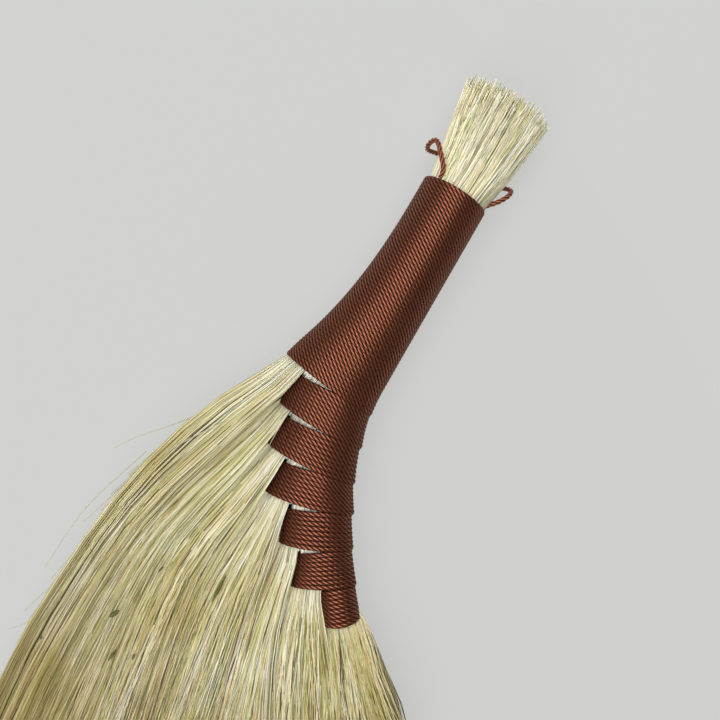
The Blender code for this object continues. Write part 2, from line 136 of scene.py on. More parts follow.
# Sides of the fan bundles, in millimetres from the rim's spine corner. Each bundle comes out of its band
# between two sides of its own, and from there lies between two of the eight lines that part the bundles.
EXIT_SIDES = (
    (((-30.0, -65.6), (-33.0, -72.2)), ((-22.9, -67.2), (-24.5, -74.0), (-26.2, -80.0))),
    (((-25.4, -79.4),), ((-20.4, -80.1), (-21.8, -88.0), (-22.9, -92.5))),
    (((-22.6, -92.2),), ((-14.7, -93.0), (-15.8, -99.0), (-16.8, -104.5))),
    (((-16.4, -104.3),), ((-7.6, -104.8), (-6.9, -110.3), (-5.6, -116.4))),
    (((-5.4, -116.3),), ((2.2, -116.2), (3.2, -120.4), (4.4, -125.7))),
    (((4.6, -125.6),), ((14.2, -124.0), (16.2, -127.0), (18.5, -130.2))),
    (((19.2, -131.4),), ((29.0, -123.6),)),
)

# Each point of a line has the height of the fan's top there too, as a share of its height at the band
FAN_LINES = (
    ((-39.2, -83.4, 1.0), (-44.4, -96.0, 1.0), (-49.2, -113.0, 1.0), (-52.2, -130.0, 1.0),
     (-54.4, -154.0, 0.9), (-55.2, -180.0, 0.8), (-52.0, -235.0, 0.56)),
    ((-31.9, -96.4, 1.0), (-42.0, -134.0, 1.0), (-42.5, -187.0, 0.8), (-35.8, -241.0, 0.56)),
    ((-25.0, -104.0, 1.0), (-31.5, -136.0, 1.0), (-26.5, -191.0, 0.8), (-18.0, -244.4, 0.56)),
    ((-17.2, -114.0, 1.0), (-19.0, -138.0, 1.0), (-10.5, -192.0, 0.8), (0.0, -244.8, 0.56)),
    ((-4.2, -124.0, 1.0), (-2.0, -140.0, 1.0), (8.5, -191.0, 0.8), (20.8, -241.8, 0.56)),
    ((6.5, -134.0, 1.0), (11.0, -148.0, 1.0), (28.5, -190.0, 0.8), (44.4, -233.4, 0.56)),
    ((28.0, -144.6, 1.0), (50.0, -180.5, 0.8), (71.0, -215.5, 0.56)),
    ((33.9, -127.6, 1.0), (38.0, -132.1, 1.0), (44.5, -138.0, 1.0), (50.5, -142.8, 0.95), (66.0, -159.4, 0.8),
     (92.6, -188.0, 0.56)),
)

# Share of its length over which each fan bundle flattens from its band's oval to the table
FLATTENING_SHARES = (0.40, 0.35, 0.29, 0.24, 0.19, 0.20, 0.17)

# Sides of the tuft of butt ends, in the same millimetres
TUFT_LEFT = ((-19.2, -5.0), (-19.6, 1.5), (-21.2, 12.0), (-22.7, 21.0), (-24.4, 33.4))
TUFT_RIGHT = ((-1.8, -5.0), (-1.2, 0.5), (0.6, 9.0), (2.1, 20.0), (3.4, 33.0))
TUFT_END_HALF_HEIGHT = 0.0110
TUFT_INSET = 0.0022

# A few single hairs, in the same millimetres and with heights: one over the third band, the rest at
# the fan's open edge
LONE_HAIRS = (
    ((-20.9, -79.6, 18.6), (-21.0, -84.0, 20.2), (-21.0, -89.0, 20.0), (-20.9, -93.4, 18.4)),
    ((-44.0, -95.0, 12.0), (-52.0, -104.5, 9.0), (-58.5, -112.0, 7.0), (-63.0, -118.5, 4.0)),
    ((-45.0, -140.0, 17.0), (-51.0, -160.0, 17.5), (-57.0, -173.0, 14.0), (-62.5, -182.0, 6.0)),
    ((-47.0, -128.0, 18.0), (-54.0, -152.0, 17.5), (-60.0, -172.0, 12.0)),
    ((-52.0, -112.0, 14.0), (-59.5, -136.0, 12.0), (-62.5, -160.0, 6.0)),
    ((-36.0, -92.0, 19.0), (-48.0, -112.0, 17.0), (-58.0, -140.0, 12.0)),
)

HAIR_POINTS = 14
HAIR_RADIUS = 0.00016
HAIR_TIP_SHARE = 0.5

# Fine hairs that stand out along the fan's open edge
WISPS = 60
WISP_SEED = 8
WISP_HEIGHTS = (0.005, 0.013)
WISP_REACHES = (0.0008, 0.0034)

# Seed husks and a stem caught between the fibres: place in the same millimetres, length, width as a share of
# it, and turn from the fan's own direction in degrees
HUSKS = (
    ((-35.6, -156.3, 18.4), 3.6, 0.42, -26.0),
    ((-30.2, -167.4, 17.8), 4.2, 0.2, -4.0),
    ((-24.6, -164.8, 17.5), 2.0, 0.36, 10.0),
    ((-30.2, -137.8, 19.7), 2.4, 0.3, -14.0),
    ((-50.8, -173.6, 16.9), 1.6, 0.4, 4.0),
    ((-12.9, -134.7, 18.5), 9.5, 0.1, 2.7),
)
HUSK_TAPER = 0.55
HUSK_FLATNESS = 0.8

# Colours of the stalks along their range of tones
STALK_COLOURS = {
    0.0: "2E2618", 0.05: "6E6336", 0.11: "CFC58E", 0.26: "EFE6BC", 0.44: "FFFDF0",
    0.54: "EADFAF", 0.64: "DCC48F", 0.72: "FFFFFC", 0.86: "DADB92", 1.0: "7F8840",
}

# Fibres of the fan, under the binding and at the butts: brightness, share of ivory at the root and the length
# over which it fades, strength of the tints, and streaks along the fibre
FIBRE_LOOKS = (
    ("Dried broom fibre", 1.10, 0.4, 0.13, 1.0, 9.0),
    ("Bound broom fibre", 1.0, 0.9, 9.0, 0.2, 1.5),
    ("Cut broom butts", 1.20, 0.12, 3.0, 0.0, 1.5),
)

# Sizes of the patterns. Yarn filaments are finer than a pixel, so they are drawn as coarse as they must be.
YARN_GRAIN = 0.3846 * MM
HUSK_GRAIN = 0.6667 * MM
DYE_PATCH = 9.09 * MM
STALK_PATCH = 26.3 * MM

# How far apart the fibres are in the noise that bends them and in the noise that streaks them
WANDER_SPACING = 900.0
STREAK_SPACING = 700.0

# Half width of the floor, share of its look that is its own glow, and the glow's strength
FLOOR_REACH = 3.0
FLOOR_GLOW_SHARE = 0.78
FLOOR_GLOW = 0.98

# Area lights: place, the point that each faces, size across and along, and power in watts
LIGHTS = (
    ("Key light", (-0.12, 0.0, 1.0), (-0.12, 0.0, 0), (1.0, 6.0), 39.5),
    ("Wide light", (-0.45, 0.0, 1.0), (-0.45, 0.0, 0), (1.7, 6.0), 15.5),
    ("Fill light", (-1.4, 0.0, 0.8), (0.0, 0.0, 0), (1.2, 3.0), 5.0),
)
WORLD_LIGHT = 0.1

# Camera straight above: lens and sensor in millimetres, place from the rim's spine corner, turn in degrees
CAMERA_LENS = 37.9
CAMERA_SENSOR = 36
CAMERA_CLIP = (0.01, 20)
CAMERA_PLACE = (-0.0106, -0.0568, 0.2385)
CAMERA_TURN = 30

# Kinds of node that the trees use most. A map range takes the value, its own range and the new one.
MATH = "ShaderNodeMath"
VECTOR_MATH = "ShaderNodeVectorMath"
MAP_RANGE = "ShaderNodeMapRange"
MIX = "ShaderNodeMix"
NOISE = "ShaderNodeTexNoise"
STORE = "GeometryNodeStoreNamedAttribute"
STORED = "GeometryNodeInputNamedAttribute"

# Where the fan's fibres start, out of sight under the cord: how far up, and how far in
HIDDEN_RUN = 0.005
FIBRE_INSET = 0.0017

# Guide paths that the fibres follow: paths in a row, points in a path, and where a bound one has its points,
# as shares of the grip and of each lower band
GUIDE_COLUMNS = 5
BOUND_COLUMNS = 3
GUIDE_POINTS = 24
GRIP_STATIONS = (0.0, 0.3, 0.6, 0.8, 0.92, 1.0)
BAND_STATIONS = (0.0, 0.5, 1.0)

# How close the guides come to the oval's sides and to the floor, and how far the bound bundles overlap
SIDE_SHARE = 0.985
FLOOR_LIFT = 0.0004
SLAB_OVERLAP = 0.03

# Step from one bundle's chance seed to the next one's, and the attributes used up when the fibres are made
SEED_STEP = 37
FIBRE_MARKS = ("across", "rise", "cut", "girth", "lean", "dive")


def mix(start, end, share):
    return start + (end - start) * share


def ease(share):
    """Share that starts and ends gently."""
    share = min(max(share, 0), 1)
    return share * share * (3 - 2 * share)


def linear(hex_colour):
    """Linear RGBA of an sRGB hex value."""
    parts = [int(hex_colour[at:at + 2], 16) / 255 for at in (0, 2, 4)]
    return tuple(p / 12.92 if p <= 0.04045 else ((p + 0.055) / 1.055) ** 2.4 for p in parts) + (1.0,)


def length_property(name, description, default):
    return FloatProperty(name=name, description=description, default=default, unit="LENGTH", precision=5)


def share_property(name, description, default, low, high):
    return FloatProperty(
        name=name, description=description, default=default, min=low, max=high, subtype="FACTOR",
    )


def count_property(name, description, default):
    return IntProperty(name=name, description=description, default=default, min=1)


def colour_property(name, description, default):
    return FloatVectorProperty(
        name=name, description=description, default=linear(default), size=4, subtype="COLOR", min=0, max=1,
    )


class BrushSizes(bpy.types.PropertyGroup):
    cord_thickness: length_property("Cord thickness", "Thickness of the twisted cord", 0.0013)
    cord_lay: length_property("Cord lay", "Length in which a ply goes once round the cord", 0.0070)
    free_width: share_property(
        "Free cord width", "Width of the loose cord, as a share of the tight one's", 1.18, 1.0, 1.25
    )
    ply_spread: share_property(
        "Ply spread", "Distance of a ply's centre from the cord's, as a share of the radius", 0.6, 0.3, 0.65
    )
    pressed_width: share_property(
        "Pressed width", "Width of the cord where it is wound turn against turn, as a share", 1.25, 1, 2
    )
    pressed_spread: share_property(
        "Pressed ply spread", "Spread of the plies where the wound cord presses them together", 0.4, 0.3, 0.53
    )
    roundness: share_property(
        "Roundness", "1 for turns that keep the cord's round section, less for squarer turns", 0.45, 0.2, 1
    )
    fibre_width: length_property("Fibre width", "Width of a fan fibre at the binding", 0.00038)
    bound_width: length_property("Bound width", "Width of a fibre drawn under the binding", 0.0007)
    butt_width: length_property("Butt end width", "Width of a fibre at its cut butt end", 0.00034)
    fan_fibres: count_property("Fan fibres", "Fibres in each of the seven fan bundles", 2500)
    bound_fibres: count_property("Bound fibres", "Fibres drawn in each bundle under the binding", 160)
    butt_fibres: count_property("Butt ends", "Fibres in each bundle's butt ends", 800)


class BrushColours(bpy.types.PropertyGroup):
    cord: colour_property("Cord", "Dyed cord where the light reaches it", "4F2C1E")
    # Painted shade: the groove colour is darker to stand in for the shade that falls between the plies
    cord_shade: colour_property("Cord groove shade", "Dyed cord in the grooves between its plies", "20100A")
    ivory: colour_property("Ivory", "Fibres near the binding and in the tuft", "FBF7EA")
    floor: colour_property("Floor", "Plain pale floor", "CFD0CD")


def add_node(tree, kind, *values, **settings):
    """Add a node with its settings, and fill its inputs.

    The values go to its inputs in turn, and those of a dict to the inputs with these identifiers. A value may
    be a node, whose first output in use is meant, or a node with the name or number of an output.
    """
    node = tree.nodes.new(kind)
    for name, value in settings.items():
        setattr(node, name, value)
    named = zip((socket.identifier for socket in node.inputs), values)
    if values and isinstance(values[0], dict):
        named = values[0].items()
    for identifier, value in list(named):
        target = next(socket for socket in node.inputs if socket.identifier == identifier)
        source = value
        if isinstance(value, bpy.types.Node):
            source = next(socket for socket in value.outputs if socket.enabled)
        if isinstance(value, tuple) and isinstance(value[0], bpy.types.Node):
            source = value[0].outputs[value[1]]
        if isinstance(source, bpy.types.NodeSocket):
            tree.links.new(source, target)
        else:
            target.default_value = source
    return node


class Section:
    """An oval cut through the binding: an upright plane across all the bundles that it holds."""

    def __init__(self, spine, tilt, width, thickness):
        self.across = Vector((math.cos(tilt), math.sin(tilt), 0))
        self.down = Vector((math.sin(tilt), -math.cos(tilt), 0))
        self.half_width = width / 2
        self.half_thickness = thickness / 2
        self.centre = spine - self.across * self.half_width + Vector((0, 0, MID_HEIGHT))

    def at(self, across_share, up_share, inset, drop=0):
        sideways = self.across * (self.half_width - inset) * across_share
        upwards = Vector((0, 0, self.half_thickness - inset)) * up_share
        return self.centre + sideways + upwards + self.down * drop

    def share_of(self, point, inset):
        return (point - self.centre).dot(self.across) / (self.half_width - inset)


def spine_point(run):
    swept = max(run - (BINDING_RUN - SWEEP_RUN), 0) / SWEEP_RUN
    return Vector((SPINE_SWEEP * swept ** SWEEP_POWER, -run, 0))


def section(band, share):
    tilt = math.radians(mix(*BAND_TILTS[band], share))
    if band == 0:
        width = mix(GRIP_TOP_WIDTH, GRIP_ROOT_WIDTH, max(share, 0) ** FLARE_POWER)
        thickness = mix(GRIP_TOP_THICKNESS, GRIP_ROOT_THICKNESS, share)
    else:
        width = GRIP_ROOT_WIDTH * mix(*BAND_WIDTH_SHARES[band], share)
        next_band = min(band + 1, BUNDLES - 1)
        thickness_share = mix(BAND_THICKNESS_SHARES[band], BAND_THICKNESS_SHARES[next_band], share)
        thickness = GRIP_ROOT_THICKNESS * thickness_share
    run = BINDING_RUN * mix(BAND_STARTS[band], BAND_STARTS[band + 1], share)
    return Section(spine_point(run), tilt, width, thickness)


def exit_share(band):
    corner = section(band + 1, 0).at(-1, 0, FIBRE_INSET)
    return section(band, 1).share_of(corner, FIBRE_INSET)


def slab_edges(band, share, bundle):
    """The two sides of a bundle in a band: its open side takes the exit's width by the lower end."""
    held = BUNDLES - band
    if held == 1:
        return -1, 1
    division = mix(2 / held - 1, exit_share(band), share)
    if bundle == band:
        return -1, division
    each = (1 - division) / (held - 1)
    left = division + each * (bundle - band - 1)
    return left, left + each


def smooth_route(route, count):
    """Points along a smooth curve through the route's own points."""
    knots = [Vector(point) for point in route]
    padded = [knots[0] * 2 - knots[1], *knots, knots[-1] * 2 - knots[-2]]
    points = []
    for index in range(count):
        place = (len(knots) - 1) * index / (count - 1)
        start = min(int(place), len(knots) - 2)
        share = place - start
        before, here, there, after = padded[start:start + 4]
        slope_here = (there - before) / 2
        slope_there = (after - here) / 2
        bend = here * 2 - there * 2 + slope_here + slope_there
        lean = there * 3 - here * 3 - slope_here * 2 - slope_there
        points.append(here + slope_here * share + lean * share ** 2 + bend * share ** 3)
    return points


def lengths_along(route):
    """Length of the route up to each of its points."""
    lengths = [0.0]
    for one, other in zip(route, route[1:]):
        lengths.append(lengths[-1] + (other - one).length)
    return lengths


def even_route(route, count):
    """The same smooth curve with its points evenly spaced."""
    fine = smooth_route(route, count * 12)
    lengths = lengths_along(fine)
    points = []
    at = 0
    for index in range(count):
        wanted = lengths[-1] * index / (count - 1)
        while at < len(fine) - 2 and lengths[at + 1] < wanted:
            at += 1
        share = (wanted - lengths[at]) / (lengths[at + 1] - lengths[at])
        points.append(fine[at].lerp(fine[at + 1], share))
    return points


def link(name, data):
    """A new object in the scene."""
    item = bpy.data.objects.new(name, data)
    bpy.context.scene.collection.objects.link(item)
    return item


def cord_path(name, route, twists, outward):
    """A cord's centre line, with the turn of its plies and the way in which it is pressed at each point."""
    mesh = bpy.data.meshes.new(name)
    edges = [(at, at + 1) for at in range(len(route) - 1)]
    mesh.from_pydata([point + RIM_CORNER for point in route], edges, [])
    mesh.attributes.new("twist", "FLOAT", "POINT").data.foreach_set("value", twists)
    ways = mesh.attributes.new("outward", "FLOAT_VECTOR", "POINT")
    ways.data.foreach_set("vector", [part for way in outward for part in way.normalized()])
    return link(name, mesh)


def new_curve(name, lines, tip_share=1.0):
    """A curve with a straight-stepped spline along each line, thinner towards its tip."""
    curve = bpy.data.curves.new(name, "CURVE")
    curve.dimensions = "3D"
    for line in lines:
        spline = curve.splines.new("POLY")
        spline.points.add(len(line) - 1)
        for index, (target, point) in enumerate(zip(spline.points, line)):
            target.co = (*(point + RIM_CORNER), 1)
            target.radius = mix(1.0, tip_share, index / (len(line) - 1))
    return curve


def open_tree(name, **inputs):
    """A new tree with these named inputs, by kind: the tree, its function for adding nodes, and its entry."""
    tree = bpy.data.node_groups.new(name, "GeometryNodeTree")
    for kind, names in inputs.items():
        for socket in names:
            tree.interface.new_socket(socket, in_out="INPUT", socket_type=f"NodeSocket{kind}")
    tree.interface.new_socket("Geometry", in_out="OUTPUT", socket_type="NodeSocketGeometry")
    add = partial(add_node, tree)
    return tree, add, add("NodeGroupInput")


def close_tree(add, entry, skin):
    """End a tree: its skin smooth, real and in its material."""
    smooth = add("GeometryNodeSetShadeSmooth", skin)
    real = add("GeometryNodeRealizeInstances", smooth)
    coated = {"Geometry": real, "Material": (entry, "Material")}
    add("NodeGroupOutput", add("GeometryNodeSetMaterial", coated))


def place_piece(name, data, slot, nodes=()):
    """Put a finished piece in the scene on the body that it rides on, and hide the model's parts that it
    takes the place of.
    """
    piece = link(name, data)
    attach(piece, BODY)
    if nodes:
        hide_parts(*nodes)
    return piece


def piece_from_tree(name, tree, path, values, slot, nodes, spare):
    """Run a tree along a path, which is then removed, and place its result as a plain mesh.

    The mesh loses the attributes that it can spare.
    """
    values["Path"] = path
    carrier = link(name + "_carrier", bpy.data.meshes.new(name + "_carrier"))
    modifier = carrier.modifiers.new("Tree", "NODES")
    modifier.node_group = tree
    for item in tree.interface.items_tree:
        if item.in_out == "INPUT" and item.name in values:
            modifier[item.identifier] = values[item.name]
    graph = bpy.context.evaluated_depsgraph_get()
    mesh = bpy.data.meshes.new_from_object(carrier.evaluated_get(graph))
    mesh.name = name
    carrier.modifiers.remove(modifier)
    for item in (carrier, path):
        bpy.data.objects.remove(item, do_unlink=True)
    for attribute in spare:
        if attribute in mesh.attributes:
            mesh.attributes.remove(mesh.attributes[attribute])
    return place_piece(name, mesh, slot, nodes)


def signed_power(add, value, power):
    """A value to a power, with its sign kept."""
    size = add(MATH, value, operation="ABSOLUTE")
    raised = add(MATH, size, power, operation="POWER")
    return add(MATH, raised, add(MATH, value, operation="SIGN"), operation="MULTIPLY")


def cord_tree():
    """A cord of twisted plies along a path: a lobed outline that turns with the path's own twist."""
    tree, add, entry = open_tree(
        "Twisted cord", Object=["Path"], Int=["Plies", "Points Per Ply"], Material=["Material"],
        Float=["Radius", "Step", "Ply Spread", "Half Height", "Roundness"],
    )
    path = add("GeometryNodeObjectInfo", (entry, "Path"))
    route = add("GeometryNodeMeshToCurve", (path, "Geometry"))
    steps = add("GeometryNodeResampleCurve", {"Curve": route, "Length": (entry, "Step")}, mode="LENGTH")
    twist = add(STORED, "twist")
    turned = add("GeometryNodeSetCurveTilt", {"Curve": steps, "Tilt": twist})
    middle = add("GeometryNodeInputPosition")
    centred = add(STORE, {"Geometry": turned, "Name": "centre", "Value": middle}, data_type="FLOAT_VECTOR")
    sides = add(MATH, (entry, "Plies"), (entry, "Points Per Ply"), operation="MULTIPLY")
    ring = add("GeometryNodeCurvePrimitiveCircle", {"Resolution": sides, "Radius": (entry, "Radius")})
    round_place = add("GeometryNodeSplineParameter")
    ply_place = add(MATH, (round_place, "Factor"), (entry, "Plies"), 0.5, operation="MULTIPLY_ADD")
    in_ply = add(MATH, ply_place, operation="FRACT")
    ply_width = add(MATH, math.tau, (entry, "Plies"), operation="DIVIDE")
    off_crest = add(MATH, in_ply, 0.5, operation="SUBTRACT")
    angle = add(MATH, off_crest, ply_width, operation="MULTIPLY")
    cosine = add(MATH, angle, operation="COSINE")
    sine = add(MATH, angle, operation="SINE")
    # Round plies whose centres stand at the spread: spread * cos + sqrt(ply ** 2 - (spread * sin) ** 2)
    ply = add(MATH, 1.0, (entry, "Ply Spread"), operation="SUBTRACT")
    ply_square = add(MATH, ply, 2.0, operation="POWER")
    side = add(MATH, sine, (entry, "Ply Spread"), operation="MULTIPLY")
    side_square = add(MATH, side, side, operation="MULTIPLY")
    left = add(MATH, ply_square, side_square, operation="SUBTRACT")
    out = add(MATH, left, operation="SQRT")
    scale = add(MATH, cosine, (entry, "Ply Spread"), out, operation="MULTIPLY_ADD")
    off_size = add(MATH, off_crest, operation="ABSOLUTE")
    crest = add(MAP_RANGE, off_size, 0.5, 0.0)
    spot = add("GeometryNodeInputPosition")
    lobed = add(VECTOR_MATH, {"Vector": spot, "Scale": scale}, operation="SCALE")
    crest_mark = add(STORE, {"Geometry": (ring, "Curve"), "Name": "crest", "Value": crest})
    outline = add("GeometryNodeSetPosition", {"Geometry": crest_mark, "Position": lobed})
    skin = add("GeometryNodeCurveToMesh", {"Curve": centred, "Profile Curve": outline, "Fill Caps": True})
    # A cord pressed turn against turn is squarer than a free one: it stays high up to its neighbours
    centre = add(STORED, "centre", data_type="FLOAT_VECTOR")
    outward = add(STORED, "outward", data_type="FLOAT_VECTOR")
    off_middle = add(VECTOR_MATH, spot, (centre, 0), operation="SUBTRACT")
    height = add(VECTOR_MATH, off_middle, (outward, 0), operation="DOT_PRODUCT")
    share = add(MATH, height, (entry, "Radius"), operation="DIVIDE")
    squared = signed_power(add, share, (entry, "Roundness"))
    new_height = add(MATH, squared, (entry, "Half Height"), operation="MULTIPLY")
    lowered = add(MATH, height, new_height, operation="SUBTRACT")
    drop = add(VECTOR_MATH, {"Vector": (outward, 0), "Scale": lowered}, operation="SCALE")
    pressed = add(VECTOR_MATH, spot, drop, operation="SUBTRACT")
    laid = add("GeometryNodeSetPosition", {"Geometry": skin, "Position": pressed})
    close_tree(add, entry, laid)
    return tree


def fibre_tree():
    """A bundle of fibres between guide paths.

    The guides are two rows of paths, the bundle's underside and its top, and each fibre keeps its own
    share across them and up between them from end to end.
    """
    tree, add, entry = open_tree(
        "Fibre bundle", Object=["Path"], Int=["Columns", "Fibres", "Points", "Sides", "Seed"],
        Float=["Radius", "Taper", "Trim", "Wander", "Waves", "Crowding", "Lean", "Dive", "Left Limit",
               "Right Limit"],
        Material=["Material"],
    )
    marked = add("GeometryNodePoints", (entry, "Fibres"))
    chances = (
        ("across", 0.0, 1.0), ("rise", -1.0, 1.0), ("tone", 0.0, 1.0), ("cut", 0.0, 1.0),
        ("girth", 0.75, 1.25), ("lean", -1.0, 1.0), ("dive", -1.0, 0.6),
    )
    for step, (name, low, high) in enumerate(chances):
        seed = add(MATH, (entry, "Seed"), float(step), operation="ADD")
        chance = add("FunctionNodeRandomValue", {"Min_001": low, "Max_001": high, "Seed": seed})
        marked = add(STORE, {"Geometry": marked, "Name": name, "Value": chance})
    line = add("GeometryNodeCurvePrimitiveLine")
    steps = add("GeometryNodeResampleCurve", {"Curve": line, "Count": (entry, "Points")})
    placed = add("GeometryNodeInstanceOnPoints", {"Points": marked, "Instance": steps})
    real = add("GeometryNodeRealizeInstances", placed)
    kept = {name: add(STORED, name) for name, low, high in chances}
    place = add("GeometryNodeSplineParameter")
    # Only a few fibres reach the very end, so that the ends are ragged
    short = add(MATH, kept["cut"], operation="SQRT")
    lost = add(MATH, (entry, "Trim"), short, operation="MULTIPLY")
    reach = add(MATH, 1.0, lost, operation="SUBTRACT")
    factor = add(MATH, (place, "Factor"), reach, operation="MULTIPLY")
    gaps = add(MATH, (entry, "Columns"), 1.0, operation="SUBTRACT")
    # These grow from nothing at the root
    grown = {
        name: add(MATH, factor, (entry, name), operation="MULTIPLY")
        for name in ("Lean", "Dive", "Waves", "Wander", "Taper")
    }
    leant = add(MATH, grown["Lean"], kept["lean"], kept["across"], operation="MULTIPLY_ADD")
    # Fibres that lean against an outer side lie along it, some further out than others
    room = add(MATH, kept["cut"], 0.5, operation="MULTIPLY")
    left_side = add(MATH, (entry, "Left Limit"), room, operation="ADD")
    right_side = add(MATH, (entry, "Right Limit"), room, operation="SUBTRACT")
    across = add("ShaderNodeClamp", leant, left_side, right_side)
    column = add(MATH, across, gaps, operation="MULTIPLY")
    whole_column = add(MATH, column, operation="FLOOR")
    last_gap = add(MATH, gaps, 1.0, operation="SUBTRACT")
    lower = add("ShaderNodeClamp", whole_column, 0.0, last_gap)
    share = add(MATH, column, lower, operation="SUBTRACT")
    guides = add("GeometryNodeObjectInfo", (entry, "Path"))
    rows = []
    for row in range(2):
        first = lower
        if row:
            first = add(MATH, lower, (entry, "Columns"), operation="ADD")
        second = add(MATH, first, 1.0, operation="ADD")
        spots = [
            add("GeometryNodeSampleCurve", {
                "Curves": (guides, "Geometry"), "Factor": factor, "Curve Index": index,
            })
            for index in (first, second)
        ]
        rows.append(add(MIX, {
            "Factor_Float": share, "A_Vector": (spots[0], "Position"), "B_Vector": (spots[1], "Position"),
        }, data_type="VECTOR", clamp_factor=False))
    layer = signed_power(add, kept["rise"], (entry, "Crowding"))
    rise = add(MATH, grown["Dive"], kept["dive"], layer, operation="MULTIPLY_ADD")
    height = add(MAP_RANGE, rise, -1.0, 1.0)
    spot = add(MIX, {"Factor_Float": height, "A_Vector": rows[0], "B_Vector": rows[1]}, data_type="VECTOR")
    own = add(MATH, kept["tone"], WANDER_SPACING, operation="MULTIPLY")
    seat = add("ShaderNodeCombineXYZ", own, grown["Waves"])
    drift = add(NOISE, {"Vector": seat, "Scale": 1.0, "Detail": 1.0})
    centred = add(VECTOR_MATH, (drift, "Color"), (0.5, 0.5, 0.5), operation="SUBTRACT")
    offset = add(VECTOR_MATH, {"Vector": centred, "Scale": grown["Wander"]}, operation="SCALE")
    free = add(VECTOR_MATH, spot, offset, operation="ADD")
    parts = add("ShaderNodeSeparateXYZ", free)
    resting = add(MATH, (parts, "Z"), (entry, "Radius"), operation="MAXIMUM")
    laid = add("ShaderNodeCombineXYZ", (parts, "X"), (parts, "Y"), resting)
    bent = add("GeometryNodeSetPosition", {"Geometry": real, "Position": laid})
    left = add(MATH, 1.0, grown["Taper"], operation="SUBTRACT")
    girth = add(MATH, left, kept["girth"], operation="MULTIPLY")
    radius = add(MATH, girth, (entry, "Radius"), operation="MULTIPLY")
    aged = add(STORE, {"Geometry": bent, "Name": "along", "Value": factor})
    ring = add("GeometryNodeCurvePrimitiveCircle", {"Resolution": (entry, "Sides"), "Radius": 1.0})
    skin = add("GeometryNodeCurveToMesh", {
        "Curve": aged, "Profile Curve": (ring, "Curve"), "Scale": radius, "Fill Caps": True,
    })
    close_tree(add, entry, skin)
    return tree


def new_material(name, surface, *values):
    """A new material, whose shader one of the functions below makes."""
    material = bpy.data.materials.new(name)
    material.use_nodes = True
    material.node_tree.nodes.clear()
    add = partial(add_node, material.node_tree)
    add("ShaderNodeOutputMaterial", surface(add, *values))
    return material


def dyed_cord(add, colours, brightness):
    """Dyed four-ply cord, waxed: the crests of its plies shine a little, and its grooves are painted dark as
    painted shade.
    """
    crest = add("ShaderNodeAttribute", attribute_name="crest")
    place = (add("ShaderNodeTexCoord"), "Object")
    yarn = add(NOISE, {"Vector": place, "Scale": 1 / YARN_GRAIN, "Detail": 2.0})
    dye = add(NOISE, {"Vector": place, "Scale": 1 / DYE_PATCH, "Detail": 3.0})
    # Painted shade: the grooves between the plies take the darker groove colour, in place of the shade that
    # falls in them
    shade = add(MAP_RANGE, (crest, "Fac"), 0.2, 0.85)
    base = add(MIX, {
        "Factor_Float": shade, "A_Color": colours.cord_shade[:], "B_Color": colours.cord[:],
    }, data_type="RGBA")
    # Painted light: a brightness above 1 paints the free cord's colour lighter; the dye mottle itself is the
    # cord's own colour
    mottle_and_painted_light = add(MAP_RANGE, (dye, "Fac"), 0.0, 1.0, 0.72 * brightness, 1.25 * brightness)
    fleck = add(MAP_RANGE, (yarn, "Fac"), 0.0, 1.0, 0.72, 1.28)
    level = add(MATH, mottle_and_painted_light, fleck, operation="MULTIPLY")
    # Painted shade: the grooves are darkened in colour and their shine is turned down; the crests shine most
    return add("ShaderNodeBsdfPrincipled", {
        "Base Color": add(VECTOR_MATH, {"Vector": base, "Scale": level}, operation="SCALE"),
        "Roughness": add(MAP_RANGE, shade, 0.0, 1.0, 0.65, 0.25),
        "Specular IOR Level": add(MAP_RANGE, shade, 0.0, 1.0, 0.05, 1.0),
        "IOR": 2.2, "Specular Tint": linear("F59A78"),
        "Normal": add("ShaderNodeBump", {"Height": (yarn, "Fac"), "Strength": 0.35, "Distance": 0.1 * MM}),
    })


def broom_fibre(add, colours, brightness, ivory_share, ivory_reach, tint, streaks):
    """Dried broom fibre, split and combed: straw-coloured with green, tan and brown stalks, paler where it
    is young, and with a low natural gloss."""
    tone = (add("ShaderNodeAttribute", attribute_name="tone"), "Fac")
    along = (add("ShaderNodeAttribute", attribute_name="along"), "Fac")
    stalk = add("ShaderNodeValToRGB", tone)
    ramp = stalk.color_ramp.elements
    ramp.remove(ramp[1])
    ramp[0].color = linear(STALK_COLOURS[0.0])
    for position, colour in STALK_COLOURS.items():
        if position:
            ramp.new(position).color = linear(colour)
    own = add(MATH, tone, STREAK_SPACING, operation="MULTIPLY")
    seat = add("ShaderNodeCombineXYZ", own, add(MATH, along, streaks, operation="MULTIPLY"))
    streak = add(NOISE, {"Vector": seat, "Scale": 1.0, "Detail": 3.0, "Roughness": 0.6})
    level = add(MAP_RANGE, (streak, "Fac"), 0.25, 0.75, 0.72 * brightness, 1.12 * brightness)
    colour = add(VECTOR_MATH, {"Vector": stalk, "Scale": level}, operation="SCALE")
    place = (add("ShaderNodeTexCoord"), "Object")
    patch = (add(NOISE, {"Vector": place, "Scale": 1 / STALK_PATCH, "Detail": 2.0}), "Fac")
    # Greener and browner in patches, where stalks of one age lie together, and older towards the tips
    for source, low, high, tinge in ((patch, 0.35, 0.65, "EFE8CC"), (along, 0.3, 0.9, "D6C79D")):
        amount = add(MAP_RANGE, source, low, high, 0.0, tint)
        colour = add(MIX, {
            "Factor_Float": amount, "A_Color": colour, "B_Color": linear(tinge),
        }, data_type="RGBA", blend_type="MULTIPLY")
    young = add(MAP_RANGE, along, 0.0, ivory_reach, ivory_share, 0.0)
    colour = add(MIX, {
        "Factor_Float": young, "A_Color": colour, "B_Color": colours.ivory[:],
    }, data_type="RGBA")
    return add("ShaderNodeBsdfPrincipled", {
        "Base Color": colour, "Roughness": 0.35, "Specular IOR Level": 0.7,
    })


def loose_hair(add):
    """Single dry hair of broom fibre: dull and pale."""
    return add("ShaderNodeBsdfPrincipled", {"Base Color": linear("C6C0A2"), "Roughness": 0.5})


